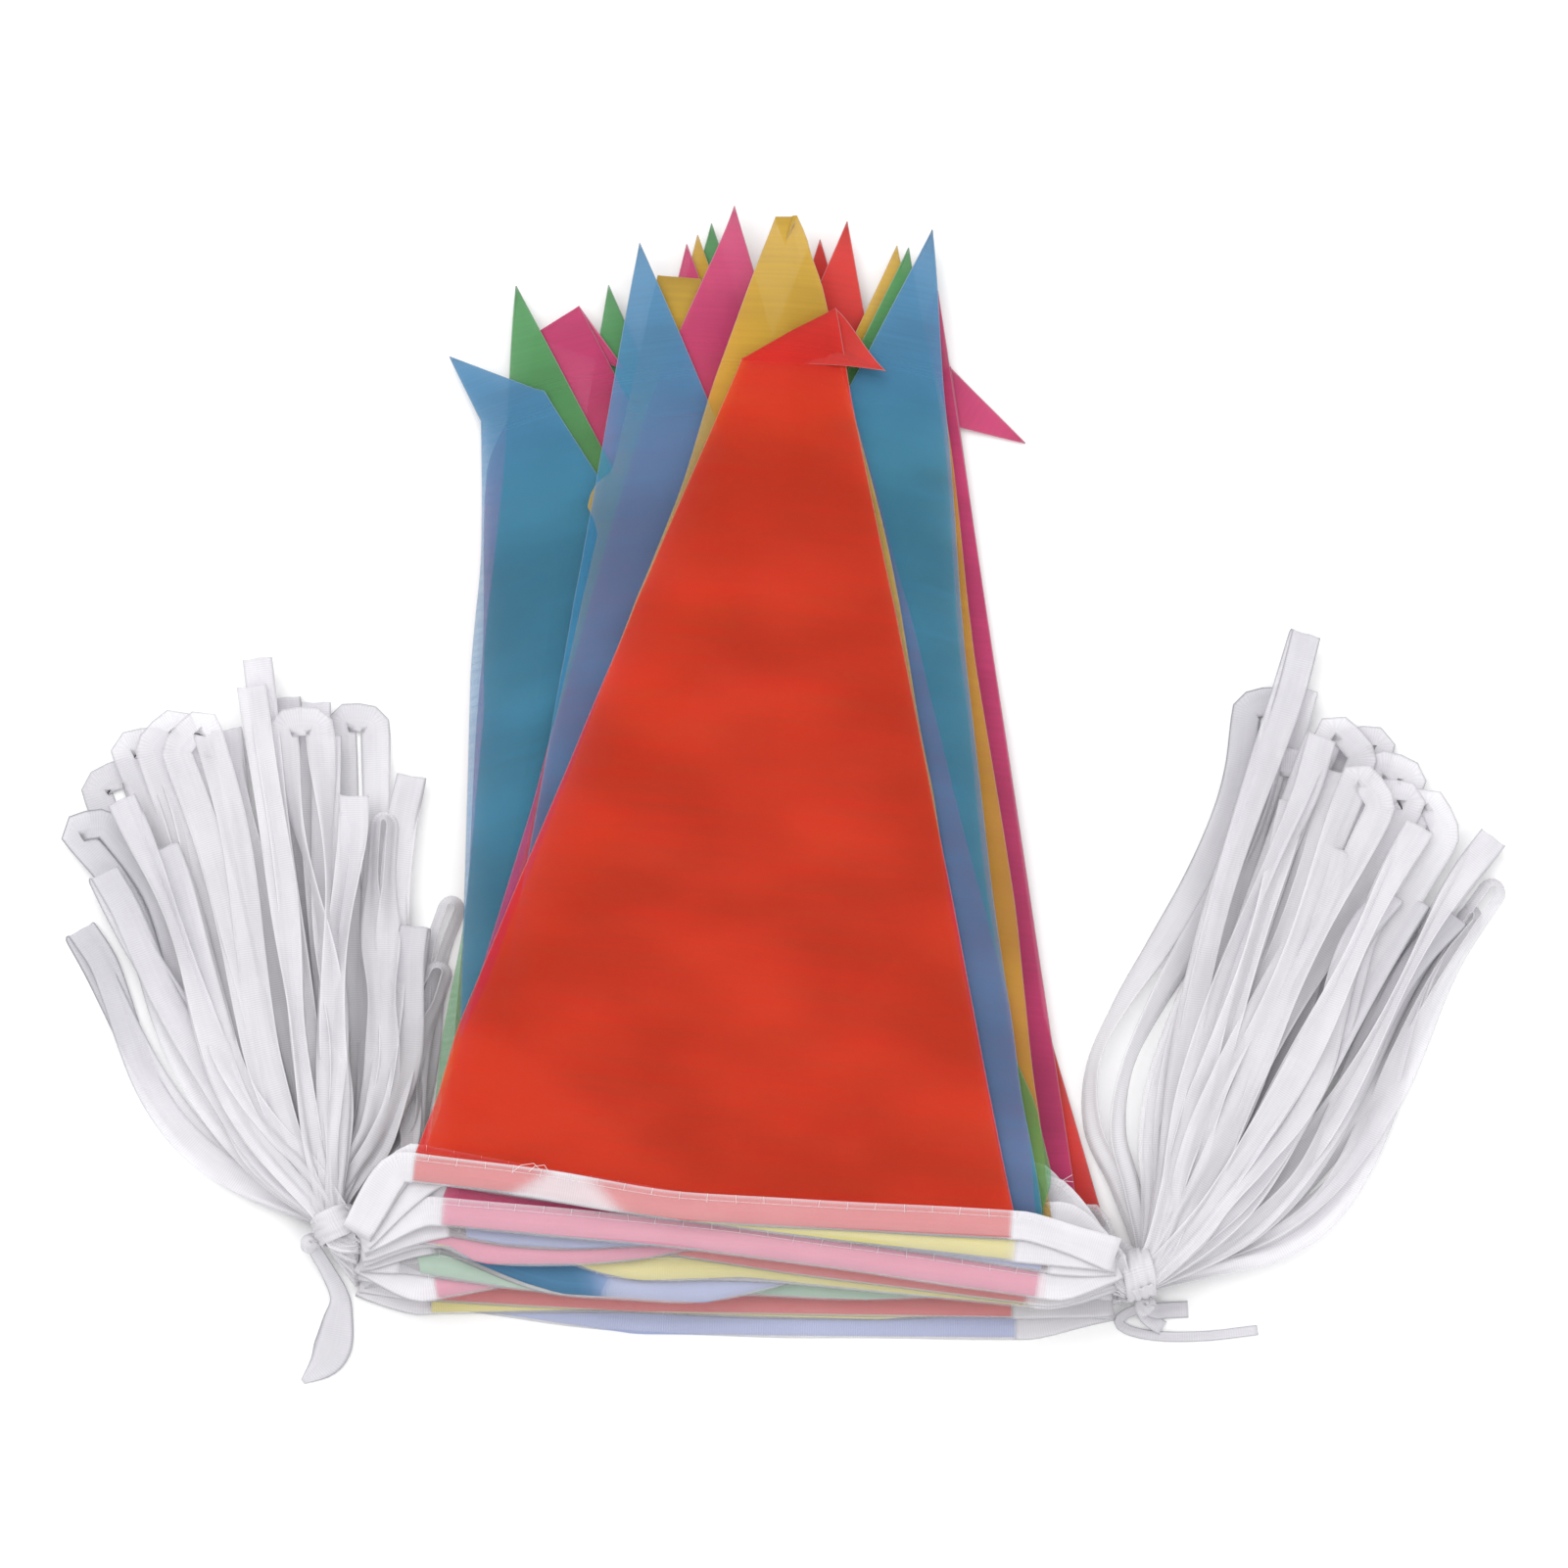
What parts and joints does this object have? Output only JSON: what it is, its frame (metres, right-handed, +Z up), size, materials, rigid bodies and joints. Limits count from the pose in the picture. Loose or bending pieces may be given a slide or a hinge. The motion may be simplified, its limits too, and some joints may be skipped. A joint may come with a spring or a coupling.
{
  "type": "pennant bunting",
  "caption": "Cloth pennant bunting folded for storage: pennants stacked and fanned at their points, the white tape gathered at each side in a tied bunch of loops.",
  "frame": {"origin": "on the table, on the flat underside of the lowest pennant and about the middle of its length", "axes": "+X along the tapes to the right-hand bunch of loops, +Y from the tapes towards the pennants' points, +Z up from the table"},
  "size_m": [0.4397, 0.3644, 0.0341],
  "materials": {
    "red_cloth": "thin sheer red-orange polyester, plain weave, soft sheen",
    "yellow_cloth": "thin sheer golden yellow polyester, plain weave, soft sheen",
    "pink_cloth": "thin sheer magenta pink polyester, plain weave, soft sheen",
    "blue_cloth": "thin sheer blue polyester, plain weave, soft sheen",
    "green_cloth": "thin sheer green polyester, plain weave, soft sheen",
    "white_tape": "white semi-sheer woven polyester tape, matte"
  },
  "bodies": {
    "root": {"loops_left": "white_tape", "loops_right": "white_tape", "pennant_blue_1": "blue_cloth", "pennant_blue_2": "blue_cloth", "pennant_blue_3": "blue_cloth", "pennant_blue_4": "blue_cloth", "pennant_green_1": "green_cloth", "pennant_green_2": "green_cloth", "pennant_green_3": "green_cloth", "pennant_green_4": "green_cloth", "pennant_pink_1": "pink_cloth", "pennant_pink_2": "pink_cloth", "pennant_pink_3": "pink_cloth", "pennant_pink_4": "pink_cloth", "pennant_pink_5": "pink_cloth", "pennant_pink_6": "pink_cloth", "pennant_red_1": "red_cloth", "pennant_red_2": "red_cloth", "pennant_red_3": "red_cloth", "pennant_red_4": "red_cloth", "pennant_yellow_1": "yellow_cloth", "pennant_yellow_2": "yellow_cloth", "pennant_yellow_3": "yellow_cloth", "pennant_yellow_4": "yellow_cloth", "pennant_yellow_5": "yellow_cloth", "tape_blue_1": "white_tape", "tape_blue_2": "white_tape", "tape_blue_3": "white_tape", "tape_blue_4": "white_tape", "tape_green_1": "white_tape", "tape_green_2": "white_tape", "tape_green_3": "white_tape", "tape_green_4": "white_tape", "tape_pink_1": "white_tape", "tape_pink_2": "white_tape", "tape_pink_3": "white_tape", "tape_pink_4": "white_tape", "tape_pink_5": "white_tape", "tape_pink_6": "white_tape", "tape_red_1": "white_tape", "tape_red_2": "white_tape", "tape_red_3": "white_tape", "tape_red_4": "white_tape", "tape_yellow_1": "white_tape", "tape_yellow_2": "white_tape", "tape_yellow_3": "white_tape", "tape_yellow_4": "white_tape", "tape_yellow_5": "white_tape", "tie_left": "white_tape", "tie_right": "white_tape"}
  },
  "joints": []
}
